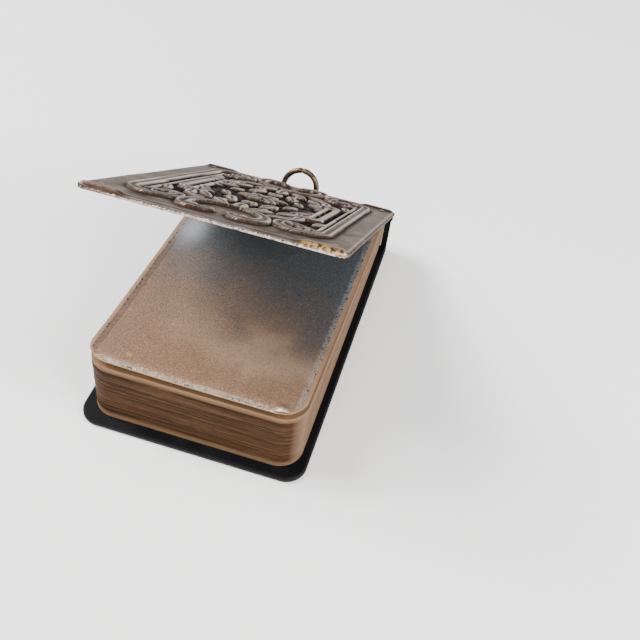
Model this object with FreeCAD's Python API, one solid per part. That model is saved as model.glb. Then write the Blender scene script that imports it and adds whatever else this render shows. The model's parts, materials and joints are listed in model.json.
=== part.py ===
import FreeCAD, Part
import math
import os

# Aide memoire case: a pocket notebook bound at its top edge, with a stamped metal plate
# on the front cover, black leather on the back and spine, and a ring on the spine.
# Millimetres. X runs across the pages, Y from the free edge to the spine, Z up.
# The origin is the middle of the underside of the back cover.
# The front cover stands open, and its parts are built flat and then swung about the hinge.

V = FreeCAD.Vector
X_AXIS = V(1, 0, 0)
Y_AXIS = V(0, 1, 0)
Z_AXIS = V(0, 0, 1)

# Case
case_width = 38.0
case_length = 59.0
case_corner_radius = 3.4
spine_corner_radius = 0.8

# Leather and board of the back cover
back_leather_thickness = 0.3
edge_leather_thickness = 0.4
turn_in_thickness = 0.2
turn_in_width = 3.2
back_board_thickness = 0.6
leather_edge_round = 0.28
joint_groove_radius = 0.4
joint_groove_from_spine = 2.1

# Spine
spine_leather_thickness = 0.45
spine_card_thickness = 0.4
spine_card_margin = 1.2
spine_card_clearance = 0.25
spine_top_below_hinge = 0.2

# Pages
pastedown_thickness = 0.12
flyleaf_thickness = 0.14
silver_leaf_thickness = 0.22
page_side_lip = 1.4
page_front_lip = 1.9
page_corner_radius = 4.0
section_count = 8
section_thickness_at_spine = 0.87
section_thickness_at_free_edge = 1.5
spine_to_fold = 1.75
silver_leaf_side_inset = 0.35
silver_leaf_front_inset = 0.15
silver_leaf_gutter_gap = 0.5
silver_leaf_lift_angle = 1.4
silver_leaf_seat = 0.02

# Sewing
thread_radius = 0.15
thread_section_sides = 8
thread_station_pitch = 9.5
thread_station_count = 3
mull_thickness = 0.12
mull_margin = 4.0

# Front cover
cover_rest_angle = 33.0
hinge_inside_spine = 0.15
hinge_above_pages = 0.5
cover_hinge_gap = 0.4
lining_clearance = 0.05
lining_thickness = 0.12
lining_edge_inset = 0.3
front_board_thickness = 0.35
flap_thickness = 0.18
flap_width = 9.0
flap_side_overhang = 0.25

# Stamped plate
plate_metal = 0.25
plate_overlap = 0.05
plate_corner_radius = 1.3
plate_edge_chamfer = 0.12

# Relief of the plate. One quarter is given here and mirrored to the others, and a circle of
# petals stands in the middle. Insets are from the plate's sides, and the rest from its near end
border_inset = 4.8
border_width = 1.5
border_height = 0.6
border_bend_from_end = 9.0
border_loop_radius = 3.5
border_curl_radius = 1.7
bar_inset = 8.1
bar_width = 0.9
bar_height = 0.5
bar_from_end = 21.0
thin_bar_inset = 9.8
thin_bar_width = 0.6
thin_bar_height = 0.35
thin_bar_from_end = 22.4
arch_from_end = 12.4
arch_radius = 5.9
arch_curl_radius = 2.1
arch_width = 1.6
arch_height = 0.8
leaf_height = 0.5
leaf_stations = 3
strap_chamfer = 0.3
leaf_chamfer = 0.22
petal_count = 6
petal_length = 3.8
petal_width = 1.9
petal_height = 0.55
rosette_boss_radius = 1.0
rosette_boss_height = 0.75
corner_bead_inset = 0.95
corner_bead_length = 6.4
corner_bead_radius = 0.55

# Leaves of the quarter: place across and from the near end, heading, length and width
relief_leaves = [
    (0.0, 12.7, 90, 5.6, 2.2),
    (1.5, 13.0, 52, 5.4, 1.9),
    (4.4, 11.9, 40, 5.0, 1.7),
    (2.2, 18.4, 72, 5.6, 1.9),
    (5.2, 16.4, 58, 5.2, 1.7),
    (8.3, 14.6, 84, 5.6, 1.7),
    (6.2, 21.8, 40, 4.4, 1.6),
    (4.6, 24.2, 66, 4.0, 1.5),
    (11.2, 12.2, -90, 4.4, 1.7),
    (11.4, 14.2, 75, 4.6, 1.6),
]

# Lug and ring
lug_across = -0.8
lug_height = 4.4
lug_plate_radius = 1.45
lug_plate_thickness = 0.7
ring_clearance = 0.15
lug_collar_radius = 1.5
lug_collar_thickness = 0.35
lug_neck_width = 1.7
ring_from_spine = 1.55
lug_shank_radius = 0.42
washer_radius = 1.3
washer_thickness = 0.2
shank_clinch_radius = 0.65
shank_clinch_height = 0.12
ring_outside_diameter = 7.8
ring_wire_diameter = 1.1
ring_section_sides = 12
ring_rest_angle = 62.0

os.makedirs("parts", exist_ok=True)

# Levels and places that follow from the sizes above
free_edge_y = -case_length / 2
spine_y = case_length / 2
back_board_bottom = back_leather_thickness
back_board_top = back_board_bottom + back_board_thickness
back_cover_top = back_board_top + turn_in_thickness
pages_width = case_width - 2 * page_side_lip
pages_front_y = free_edge_y + page_front_lip
fold_y = spine_y - spine_to_fold
pages_bottom = back_cover_top + flyleaf_thickness
pages_top_at_spine = pages_bottom + section_count * section_thickness_at_spine
pages_top_at_free_edge = pages_bottom + section_count * section_thickness_at_free_edge
hinge_y = spine_y - hinge_inside_spine
hinge_z = pages_top_at_spine + silver_leaf_thickness + hinge_above_pages
spine_inner_y = spine_y - spine_leather_thickness
card_inner_y = spine_inner_y - spine_card_thickness
lining_bottom = hinge_z + lining_clearance
front_board_bottom = lining_bottom + lining_thickness
front_board_top = front_board_bottom + front_board_thickness
plate_top = front_board_top + plate_metal
cover_far_y = hinge_y - cover_hinge_gap
plate_width = case_width + 2 * (plate_metal + plate_overlap)
board_width = plate_width - 2 * plate_metal
board_near_y = free_edge_y + plate_metal
thread_y = fold_y + thread_radius
mull_y = thread_y + thread_radius
page_slope = math.degrees(math.atan2(
    pages_top_at_free_edge - pages_top_at_spine,
    fold_y - section_thickness_at_spine / 2 - pages_front_y,
))
lug_eye_y = spine_y + ring_from_spine


def save(name, shape):
    shape.exportStep("parts/" + name + ".step")


def rounded_outline(x0, x1, y0, y1, z, near_radius, far_radius):
    """Closed outline with one radius at the free edge and another at the spine."""
    quarter = 0.5 ** 0.5
    near_cut = near_radius * (1 - quarter)
    far_cut = far_radius * (1 - quarter)
    near_left = Part.Arc(
        V(x0, y0 + near_radius, z), V(x0 + near_cut, y0 + near_cut, z), V(x0 + near_radius, y0, z)
    )
    near_right = Part.Arc(
        V(x1 - near_radius, y0, z), V(x1 - near_cut, y0 + near_cut, z), V(x1, y0 + near_radius, z)
    )
    far_right = Part.Arc(
        V(x1, y1 - far_radius, z), V(x1 - far_cut, y1 - far_cut, z), V(x1 - far_radius, y1, z)
    )
    far_left = Part.Arc(
        V(x0 + far_radius, y1, z), V(x0 + far_cut, y1 - far_cut, z), V(x0, y1 - far_radius, z)
    )
    edges = [
        near_left.toShape(),
        Part.makeLine(V(x0 + near_radius, y0, z), V(x1 - near_radius, y0, z)),
        near_right.toShape(),
        Part.makeLine(V(x1, y0 + near_radius, z), V(x1, y1 - far_radius, z)),
        far_right.toShape(),
        Part.makeLine(V(x1 - far_radius, y1, z), V(x0 + far_radius, y1, z)),
        far_left.toShape(),
        Part.makeLine(V(x0, y1 - far_radius, z), V(x0, y0 + near_radius, z)),
    ]
    return Part.Wire(edges)


def slab(half_width, y0, y1, z0, z1, near_radius, far_radius):
    outline = rounded_outline(-half_width, half_width, y0, y1, z0, near_radius, far_radius)
    return Part.Face(outline).extrude(V(0, 0, z1 - z0))


def block(x0, x1, y0, y1, z0, z1):
    return Part.makeBox(x1 - x0, y1 - y0, z1 - z0, V(x0, y0, z0))


def even_polygon(centre, radius, sides, second_axis):
    """A closed outline of even sides, in the plane of the X axis and a second axis."""
    corners = []
    for number in range(sides + 1):
        turn = 2 * math.pi * number / sides
        offset = X_AXIS * (radius * math.cos(turn)) + second_axis * (radius * math.sin(turn))
        corners.append(centre + offset)
    return Part.makePolygon(corners)


def swung(shape, degrees, y, z):
    """The shape turned upwards about a hinge line that runs along X."""
    copy = shape.copy()
    copy.rotate(V(0, y, z), X_AXIS, -degrees)
    return copy


# Back cover: one skin of leather over the board, turned in at its edges and carried up the spine

def back_leather():
    half = case_width / 2
    skin = slab(half, free_edge_y, spine_y, 0, back_cover_top, case_corner_radius, spine_corner_radius)
    rims = [e for e in skin.Edges if abs(e.BoundBox.ZMax - e.BoundBox.ZMin) < 1e-6]
    skin = skin.makeChamfer(leather_edge_round, rims)
    inner = half - edge_leather_thickness
    inner_radius = case_corner_radius - edge_leather_thickness
    board_room = slab(
        inner, free_edge_y + edge_leather_thickness, spine_inner_y,
        back_board_bottom, back_board_top, inner_radius, spine_corner_radius / 2,
    )
    window = slab(
        half - turn_in_width, free_edge_y + turn_in_width, spine_inner_y - turn_in_width / 2,
        back_board_top, back_cover_top + 1, inner_radius / 2, spine_corner_radius / 2,
    )
    round_top = spine_leather_thickness / 2
    shoulder = hinge_z - spine_top_below_hinge - round_top
    wall = block(-half, half, spine_inner_y, spine_y, back_leather_thickness, shoulder)
    rolled_edge = Part.makeCylinder(
        round_top, case_width, V(-half, spine_y - round_top, shoulder), X_AXIS
    )
    rounded_ends = slab(
        half, free_edge_y, spine_y, 0, hinge_z, case_corner_radius, spine_corner_radius
    )
    wall = wall.fuse(rolled_edge).common(rounded_ends)
    groove = Part.makeCylinder(
        joint_groove_radius, case_width + 2,
        V(-half - 1, spine_y - joint_groove_from_spine, -joint_groove_radius * 0.45), X_AXIS,
    )
    shank_hole = Part.makeCylinder(lug_shank_radius, 4, V(lug_across, spine_y - 3, lug_height), Y_AXIS)
    return skin.cut(board_room).cut(window).fuse(wall).cut(groove).cut(shank_hole).removeSplitter()


def back_board():
    half = case_width / 2 - edge_leather_thickness
    radius = case_corner_radius - edge_leather_thickness
    body = slab(
        half, free_edge_y + edge_leather_thickness, spine_inner_y,
        back_board_bottom, back_board_top, radius, spine_corner_radius / 2,
    )
    groove = Part.makeCylinder(
        joint_groove_radius, case_width + 2,
        V(-half - 2, spine_y - joint_groove_from_spine, -joint_groove_radius * 0.45), X_AXIS,
    )
    return body.cut(groove)


def back_pastedown():
    half = case_width / 2 - turn_in_width
    return slab(
        half, free_edge_y + turn_in_width, spine_inner_y - turn_in_width / 2,
        back_board_top, back_board_top + pastedown_thickness,
        (case_corner_radius - edge_leather_thickness) / 2, spine_corner_radius / 2,
    )


# Spine: a card inside the leather, then a hollow, then gauze and thread on the folds

def spine_card():
    half = case_width / 2 - spine_card_margin
    body = block(-half, half, card_inner_y, spine_inner_y, back_cover_top + spine_card_clearance,
                 pages_top_at_spine)
    shank_hole = Part.makeCylinder(lug_shank_radius, 4, V(lug_across, spine_y - 3, lug_height), Y_AXIS)
    return body.cut(shank_hole)


def spine_mull():
    half = pages_width / 2 - mull_margin
    return block(-half, half, mull_y, mull_y + mull_thickness, pages_bottom, pages_top_at_spine)


def sewing_thread():
    first = -(thread_station_count - 1) / 2 * thread_station_pitch
    height = section_count * section_thickness_at_spine
    stitches = []
    for station in range(thread_station_count):
        centre = V(first + station * thread_station_pitch, thread_y, pages_bottom)
        section = Part.Face(even_polygon(centre, thread_radius, thread_section_sides, Y_AXIS))
        stitches.append(section.extrude(V(0, 0, height)))
    return Part.makeCompound(stitches)


# Pages: folded sections that fan out a little towards the free edge, with rounded corners

def page_section(index):
    low_far = pages_bottom + index * section_thickness_at_spine
    low_near = pages_bottom + index * section_thickness_at_free_edge
    high_far = low_far + section_thickness_at_spine
    high_near = low_near + section_thickness_at_free_edge
    half = pages_width / 2
    fold_start = fold_y - section_thickness_at_spine / 2
    corners = [
        V(-half, fold_start, low_far),
        V(-half, pages_front_y, low_near),
        V(-half, pages_front_y, high_near),
        V(-half, fold_start, high_far),
    ]
    edges = [Part.makeLine(a, b) for a, b in zip(corners, corners[1:])]
    middle = V(-half, fold_y, (low_far + high_far) / 2)
    edges.append(Part.Arc(corners[3], middle, corners[0]).toShape())
    solid = Part.Face(Part.Wire(edges)).extrude(V(pages_width, 0, 0))
    near = [e for e in solid.Edges
            if e.BoundBox.YMax < pages_front_y + 1e-4 and e.BoundBox.XLength < 1e-4]
    return solid.makeFillet(page_corner_radius, near)


def back_flyleaf():
    return slab(
        pages_width / 2, pages_front_y, fold_y, back_cover_top, pages_bottom,
        page_corner_radius, spine_corner_radius / 2,
    )


def silver_leaf():
    """The silvered leaf on top of the pages, lying along their slope and lifted a little."""
    far_y = fold_y - silver_leaf_gutter_gap
    flat = slab(
        pages_width / 2 - silver_leaf_side_inset, pages_front_y + silver_leaf_front_inset, far_y,
        pages_top_at_spine, pages_top_at_spine + silver_leaf_thickness,
        page_corner_radius - silver_leaf_side_inset, spine_corner_radius / 2,
    )
    return swung(flat, page_slope + silver_leaf_lift_angle, fold_y, pages_top_at_spine + silver_leaf_seat)


# Front cover: lining, board, leather flap and stamped plate, built flat above the pages

def front_lining():
    return slab(
        board_width / 2 - lining_edge_inset, board_near_y + lining_edge_inset / 3, cover_far_y,
        lining_bottom, front_board_bottom, plate_corner_radius, spine_corner_radius / 2,
    )


def front_board():
    body = slab(
        board_width / 2, board_near_y, cover_far_y, front_board_bottom, front_board_top,
        plate_corner_radius - plate_metal, spine_corner_radius / 2,
    )
    rebate = block(
        -board_width, board_width, cover_far_y - flap_width, cover_far_y + 1,
        front_board_top - flap_thickness, front_board_top + 1,
    )
    return body.cut(rebate)


def hinge_leather():
    """The flap of the spine's leather that lies between board and plate."""
    return block(
        -board_width / 2, board_width / 2, cover_far_y - flap_width, cover_far_y,
        front_board_top - flap_thickness, front_board_top,
    )


def stood_up(outline, height, chamfer):
    """A flat shape raised from the plate, with its upper edges sloped."""
    outline.translate(V(0, 0, plate_top - plate_overlap))
    solid = Part.Face(outline).extrude(V(0, 0, height + plate_overlap))
    top = [e for e in solid.Edges if e.BoundBox.ZMin > plate_top + height - 1e-6]
    return solid.makeChamfer(chamfer, top)


def strap(start, heading, steps, width, height):
    """A strap along a smooth path: each step is a bend's radius and sweep, or a length and 0."""
    edges = []
    point = V(start[0], free_edge_y + start[1], 0)
    direction = heading
    for size, sweep in steps:
        along = FreeCAD.Rotation(Z_AXIS, direction).multVec(X_AXIS)
        if sweep == 0:
            end = point + along * size
            edges.append(Part.makeLine(point, end))
        else:
            side = FreeCAD.Rotation(Z_AXIS, 90 if sweep > 0 else -90).multVec(along)
            centre = point + side * size
            half_way = FreeCAD.Rotation(Z_AXIS, sweep / 2).multVec(point - centre) + centre
            end = FreeCAD.Rotation(Z_AXIS, sweep).multVec(point - centre) + centre
            edges.append(Part.Arc(point, half_way, end).toShape())
        point = end
        direction += sweep
    return stood_up(Part.Wire(edges).makeOffset2D(width / 2), height, min(strap_chamfer, width / 3))


def straight_bar(inset, width, height, from_end):
    """A bar along one side of the plate, up to its middle, with sloped upper edges."""
    side = plate_width / 2 - inset - width / 2
    middle_y = (free_edge_y + cover_far_y) / 2
    outline = Part.makePolygon([
        V(side, free_edge_y + from_end, 0), V(side + width, free_edge_y + from_end, 0),
        V(side + width, middle_y, 0), V(side, middle_y, 0), V(side, free_edge_y + from_end, 0),
    ])
    outline.translate(V(0, 0, plate_top - plate_overlap))
    solid = Part.Face(outline).extrude(V(0, 0, height + plate_overlap))
    long_edges = [e for e in solid.Edges
                  if e.BoundBox.ZMin > plate_top + height - 1e-6 and e.BoundBox.YLength > width]
    return solid.makeChamfer(width / 4, long_edges)


def leaf(across, from_end, heading, length, width, height):
    """A pointed leaf, widest in its middle, from its root outwards."""
    root = V(0, 0, 0)
    tip = V(length, 0, 0)
    left = []
    for station in range(1, leaf_stations):
        share = station / leaf_stations
        left.append(V(length * share, width / 2 * math.sin(math.pi * share), 0))
    right = [V(point.x, -point.y, 0) for point in reversed(left)]
    outline = Part.makePolygon([root] + left + [tip] + right + [root])
    outline.rotate(root, Z_AXIS, heading)
    outline.translate(V(across, free_edge_y + from_end, 0))
    return stood_up(outline, height, leaf_chamfer)


def mirrored_quarters(shape, middle_y, on_long_axis=False):
    """The shape with its mirror images across the plate's two middle lines."""
    both_ends = [shape, shape.mirror(V(0, middle_y, 0), Y_AXIS)]
    if on_long_axis:
        return both_ends
    return both_ends + [one.mirror(V(0, 0, 0), X_AXIS) for one in both_ends]


def plate_relief():
    """Looped borders, bars, arches and leaves in four quarters, round a rosette."""
    half = plate_width / 2
    middle_y = (free_edge_y + cover_far_y) / 2
    to_middle = middle_y - free_edge_y
    border = strap(
        (half - border_inset, to_middle), -90,
        [(to_middle - border_bend_from_end, 0), (border_loop_radius, -180), (border_curl_radius, -150)],
        border_width, border_height,
    )
    bar = straight_bar(bar_inset, bar_width, bar_height, bar_from_end)
    thin_bar = straight_bar(thin_bar_inset, thin_bar_width, thin_bar_height, thin_bar_from_end)
    arch = strap(
        (0, arch_from_end), 0, [(arch_radius, -105), (arch_curl_radius, -120)], arch_width, arch_height
    )
    relief = []
    for shape in (border, bar, thin_bar, arch):
        relief += mirrored_quarters(shape, middle_y)
    for across, from_end, heading, length, width in relief_leaves:
        shape = leaf(across, from_end, heading, length, width, leaf_height)
        relief += mirrored_quarters(shape, middle_y, across == 0)
    for number in range(petal_count):
        relief.append(
            leaf(0, to_middle, 360 * number / petal_count, petal_length, petal_width, petal_height)
        )
    relief.append(Part.makeCone(
        rosette_boss_radius, rosette_boss_radius / 2, rosette_boss_height + plate_overlap,
        V(0, middle_y, plate_top - plate_overlap), Z_AXIS,
    ))
    return relief


def front_plate():
    half = plate_width / 2
    sheet = slab(half, free_edge_y, cover_far_y, front_board_bottom, plate_top,
                 plate_corner_radius, spine_corner_radius / 2)
    rim = [e for e in sheet.Edges if e.BoundBox.ZMin > plate_top - 1e-6]
    sheet = sheet.makeChamfer(plate_edge_chamfer, rim)
    board_room = slab(
        board_width / 2, board_near_y, cover_far_y + 1, front_board_bottom - 1, front_board_top,
        plate_corner_radius - plate_metal, spine_corner_radius / 2,
    )
    relief = plate_relief()
    above_sheet = block(-half, half, free_edge_y, cover_far_y, plate_top - plate_overlap, plate_top + 5)
    for side in (-1, 1):
        start = V(side * (half - corner_bead_inset), free_edge_y + corner_bead_inset, plate_top)
        bead = Part.makeCylinder(corner_bead_radius, corner_bead_length, start, V(-side, 0, 0))
        end = Part.makeSphere(corner_bead_radius, start + V(-side * corner_bead_length, 0, 0))
        relief.append(bead.fuse(end).common(above_sheet))
    return sheet.cut(board_room).multiFuse(relief).removeSplitter()


# Lug and ring: an eye riveted through the spine and a wire ring threaded through it

def ring_lug():
    """A pressed plate with a hole for the ring, on a collar, its shank clinched inside the spine."""
    across = lug_across - lug_plate_thickness / 2
    eye_centre = V(across, lug_eye_y, lug_height)
    ear = Part.makeCylinder(lug_plate_radius, lug_plate_thickness, eye_centre, X_AXIS)
    neck = block(across, across + lug_plate_thickness, spine_y, lug_eye_y,
                 lug_height - lug_neck_width / 2, lug_height + lug_neck_width / 2)
    hole_radius = ring_wire_diameter / 2 + ring_clearance
    hole = Part.makeCylinder(hole_radius, lug_plate_thickness, eye_centre, X_AXIS)
    collar = Part.makeCylinder(
        lug_collar_radius, lug_collar_thickness, V(lug_across, spine_y, lug_height), Y_AXIS
    )
    shank_length = spine_y - card_inner_y + washer_thickness + shank_clinch_height
    shank_start = V(lug_across, spine_y - shank_length, lug_height)
    shank = Part.makeCylinder(lug_shank_radius, shank_length + lug_collar_thickness / 2, shank_start, Y_AXIS)
    clinch = Part.makeCylinder(shank_clinch_radius, shank_clinch_height, shank_start, Y_AXIS)
    return collar.multiFuse([ear, neck, shank, clinch]).cut(hole).removeSplitter()


def lug_washer():
    start = V(lug_across, card_inner_y - washer_thickness, lug_height)
    disc = Part.makeCylinder(washer_radius, washer_thickness, start, Y_AXIS)
    return disc.cut(Part.makeCylinder(lug_shank_radius, washer_thickness, start, Y_AXIS))


def suspension_ring():
    """Wire bent to a circle, standing up from the lug, its section a polygon of even sides."""
    wire_radius = ring_wire_diameter / 2
    mean_radius = ring_outside_diameter / 2 - wire_radius
    centre = V(lug_across, lug_eye_y + mean_radius, lug_height)
    wire_centre = centre + X_AXIS * mean_radius
    section = Part.Face(even_polygon(wire_centre, wire_radius, ring_section_sides, Z_AXIS))
    flat_ring = section.revolve(centre, Z_AXIS, 360)
    return swung(flat_ring, -ring_rest_angle, lug_eye_y, lug_height)


# One file for each piece

save("back_leather", back_leather())
save("back_board", back_board())
save("back_pastedown", back_pastedown())
save("spine_card", spine_card())
save("spine_mull", spine_mull())
save("sewing_thread", sewing_thread())
save("back_flyleaf", back_flyleaf())
for number in range(section_count):
    save("page_section_" + str(number + 1), page_section(number))
save("silver_leaf", silver_leaf())
for name, make in (
    ("front_lining", front_lining),
    ("front_board", front_board),
    ("hinge_leather", hinge_leather),
    ("front_plate", front_plate),
):
    save(name, swung(make(), cover_rest_angle, hinge_y, hinge_z))
save("ring_lug", ring_lug())
save("lug_washer", lug_washer())
save("suspension_ring", suspension_ring())
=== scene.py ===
import json
import math

import bpy
import numpy as np
from mathutils import Matrix, Vector


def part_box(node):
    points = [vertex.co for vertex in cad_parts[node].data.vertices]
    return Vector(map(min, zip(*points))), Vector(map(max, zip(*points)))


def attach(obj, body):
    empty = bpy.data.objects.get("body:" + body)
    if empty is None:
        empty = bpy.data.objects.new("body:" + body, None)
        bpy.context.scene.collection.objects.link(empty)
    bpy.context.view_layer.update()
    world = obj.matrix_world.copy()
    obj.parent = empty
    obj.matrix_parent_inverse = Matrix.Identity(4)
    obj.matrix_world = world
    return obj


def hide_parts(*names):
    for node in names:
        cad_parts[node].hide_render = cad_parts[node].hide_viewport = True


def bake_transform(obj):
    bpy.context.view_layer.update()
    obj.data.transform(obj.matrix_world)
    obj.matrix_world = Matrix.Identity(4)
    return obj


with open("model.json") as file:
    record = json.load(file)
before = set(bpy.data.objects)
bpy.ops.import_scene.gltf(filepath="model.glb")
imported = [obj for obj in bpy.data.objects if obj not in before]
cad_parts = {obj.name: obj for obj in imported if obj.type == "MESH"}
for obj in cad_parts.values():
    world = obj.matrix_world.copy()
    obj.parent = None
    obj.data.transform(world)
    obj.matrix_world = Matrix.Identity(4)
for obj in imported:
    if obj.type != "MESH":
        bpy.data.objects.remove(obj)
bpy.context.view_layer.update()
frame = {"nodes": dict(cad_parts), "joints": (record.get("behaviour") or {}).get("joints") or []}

# Looks of a small notebook with a stamped metal cover. Sizes are millimetres until a mesh is made.
# X runs across the pages, Y from the free edge to the spine, Z up.

MM = 0.001
joints = {joint["name"]: joint for joint in frame["joints"]}


def low_high(node):
    """A node's lowest and highest corner, in millimetres."""
    low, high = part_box(node)
    return np.array(low) / MM, np.array(high) / MM


# Front cover: its hinge line, its rest angle, where it starts and ends along from the hinge, and
# the levels of its layers above the hinge line
hinge_y = joints["cover_hinge"]["pos_m"][1] / MM
hinge_z = joints["cover_hinge"]["pos_m"][2] / MM
cover_angle = math.radians(33.0)
cover_far = 0.4
cover_near = 58.85
lining_level = 0.05
board_level = 0.17
plate_top = 0.77
plate_metal = 0.25
plate_width = low_high("front_plate")[1][0] * 2
plate_length = cover_near - cover_far
plate_half = plate_width / 2
to_middle = plate_length / 2
plate_corner_radius = 1.3

# Pages and the silvered leaf
pages_half = low_high("page_section_1")[1][0]
pages_near_y = low_high("page_section_1")[0][1]
fold_y = low_high("page_section_1")[1][1]
pages_low = low_high("page_section_1")[0][2]
section_count = 8
leaves_in_section = 7
leaf_seat = 0.02
leaf_lift = math.radians(1.4)
pages_top_at_spine = joints["leaf_lift"]["pos_m"][2] / MM - leaf_seat
pages_top_at_free_edge = low_high("page_section_8")[1][2]
page_corner_radius = 4.0

# Spine and ring
spine_y = low_high("back_leather")[1][1]
case_half = low_high("back_leather")[1][0]
spine_top = low_high("back_leather")[1][2]
ring_wire = 1.1
ring_angle = math.radians(62.0)


# Mesh making

def mesh_object(name, points, faces, smooth=True):
    """A mesh object from points in millimetres. Its place is in its mesh."""
    mesh = bpy.data.meshes.new(name)
    mesh.from_pydata([tuple(point) for point in np.asarray(points, float) * MM], [], faces)
    mesh.validate()
    mesh.update()
    made = bpy.data.objects.new(name, mesh)
    bpy.context.scene.collection.objects.link(made)
    if smooth:
        mesh.polygons.foreach_set("use_smooth", [True] * len(mesh.polygons))
    return made


def grid_faces(rows, columns, first=0):
    """Quads of a grid whose points run along each row in turn."""
    row, column = np.meshgrid(np.arange(rows - 1), np.arange(columns - 1), indexing="ij")
    corner = (first + row * columns + column).ravel()
    return np.stack([corner, corner + 1, corner + columns + 1, corner + columns], 1).tolist()


def border_of(grid):
    """Indices round the border of a grid, in order."""
    rows, columns = grid.shape[:2]
    border = list(range(columns))
    border += [row * columns + columns - 1 for row in range(1, rows)]
    border += [(rows - 1) * columns + column for column in range(columns - 2, -1, -1)]
    border += [row * columns for row in range(rows - 2, 0, -1)]
    return border


def shell_from_grids(name, upper, lower):
    """A closed sheet between an upper and a lower grid of the same size, joined at the border."""
    rows, columns = upper.shape[:2]
    count = rows * columns
    points = np.concatenate([upper.reshape(-1, 3), lower.reshape(-1, 3)])
    faces = grid_faces(rows, columns)
    faces += [face[::-1] for face in grid_faces(rows, columns, count)]
    border = border_of(upper)
    for here, there in zip(border, border[1:] + border[:1]):
        faces.append([there, here, here + count, there + count])
    return mesh_object(name, points, faces)


def pan_from_grid(name, upper, loops):
    """A closed piece below a grid of points: loops follow its border, and the last is closed flat."""
    rows, columns = upper.shape[:2]
    faces = grid_faces(rows, columns)
    here = border_of(upper)
    first = rows * columns
    for _ in loops:
        there = list(range(first, first + len(here)))
        for index in range(len(here)):
            after = (index + 1) % len(here)
            faces.append([here[after], here[index], there[index], there[after]])
        first += len(here)
        here = there
    faces.append(here[::-1])
    return mesh_object(name, np.concatenate([upper.reshape(-1, 3)] + loops), faces)


def store(piece, name, values):
    """Keeps one number for each point of a mesh, for its material to read."""
    attribute = piece.data.attributes.new(name, "FLOAT", "POINT")
    attribute.data.foreach_set("value", np.asarray(values, np.float32).ravel())


def cover_place(across, along, level):
    """Points of the open cover. along runs from the hinge, level up from the hinge line."""
    across, along, level = np.broadcast_arrays(across, along, level)
    turn, lift = math.cos(cover_angle), math.sin(cover_angle)
    y = hinge_y - along * turn + level * lift
    z = hinge_z + along * lift + level * turn
    return np.stack([across, y, z], -1).astype(float)


def ease(share):
    """A smooth step from 0 to 1."""
    share = np.clip(share, 0, 1)
    return share * share * (3 - 2 * share)


def waves(first, second, scale, seed):
    """Soft random waves between about -1 and 1, the same on every run."""
    picker = np.random.default_rng(seed)
    total = np.zeros(np.broadcast(first, second).shape)
    for octave in range(9):
        angle = picker.uniform(0, 2 * math.pi)
        pace = scale * picker.uniform(0.6, 1.9)
        phase = picker.uniform(0, 2 * math.pi)
        total = total + np.sin((first * math.cos(angle) + second * math.sin(angle)) / pace + phase)
    return total / 4.5


def blurred(values, reach):
    """A grid of values, smoothed over so many cells each way."""
    for axis in (0, 1):
        total = np.zeros_like(values)
        for step in range(-reach, reach + 1):
            index = np.clip(np.arange(values.shape[axis]) + step, 0, values.shape[axis] - 1)
            total += np.take(values, index, axis)
        values = total / (2 * reach + 1)
    return values


# Ornament of the plate. across is from the middle, from_edge is the distance from the free edge

def tangent_path(across, from_edge, heading, steps, pace=0.25):
    """Points along a smooth path: each step is a bend's radius and sweep, or a length and 0."""
    points = [(across, from_edge)]
    x, y, direction = across, from_edge, math.radians(heading)
    for size, sweep in steps:
        turn = math.radians(sweep)
        length = size * abs(turn) if sweep else size
        count = max(4, int(length / pace)) if sweep else 6
        for _ in range(count):
            stride = 2 * size * math.sin(abs(turn) / count / 2) if sweep else size / count
            x += stride * math.cos(direction + turn / count / 2)
            y += stride * math.sin(direction + turn / count / 2)
            direction += turn / count
            points.append((x, y))
    return np.array(points)


def stroke(height, across, from_edge, path, widths, crest, groove):
    """Raises a strap along a path, with a soft square back, a groove and the given half widths."""
    reach = max(widths) + 0.2
    near = (across > path[:, 0].min() - reach) & (across < path[:, 0].max() + reach)
    near &= (from_edge > path[:, 1].min() - reach) & (from_edge < path[:, 1].max() + reach)
    x, y = across[near], from_edge[near]
    best = np.full(x.shape, 9.0)
    share = np.zeros(x.shape)
    count = len(path) - 1
    strides = np.hypot(*np.diff(path, axis=0).T)
    walked = np.concatenate([[0], np.cumsum(strides)]) / strides.sum()
    for index in range(count):
        a, b = path[index], path[index + 1]
        run = b - a
        along = np.clip(((x - a[0]) * run[0] + (y - a[1]) * run[1]) / (run @ run), 0, 1)
        gap = np.hypot(x - a[0] - along * run[0], y - a[1] - along * run[1])
        closer = gap < best
        best = np.where(closer, gap, best)
        share = np.where(closer, walked[index] + along * strides[index] / strides.sum(), share)
    half = np.interp(share, np.linspace(0, 1, len(widths)), widths)
    ratio = np.clip(best / half, 0, 1)
    back = np.sqrt(1 - ratio ** 6)
    dip = groove * np.exp(-(ratio / 0.55) ** 4)
    raised = crest * (0.55 + 0.45 * half / max(widths)) * (back - dip)
    lifted = np.where(best < half, raised, 0)
    height[near] = np.maximum(height[near], lifted)


def boss(height, across, from_edge, x, y, radius, crest):
    """Raises a round button."""
    gap = np.hypot(across - x, from_edge - y) / radius
    raised = crest * np.sqrt(np.clip(1 - gap ** 2, 0, 1))
    np.maximum(height, raised, out=height)


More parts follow.
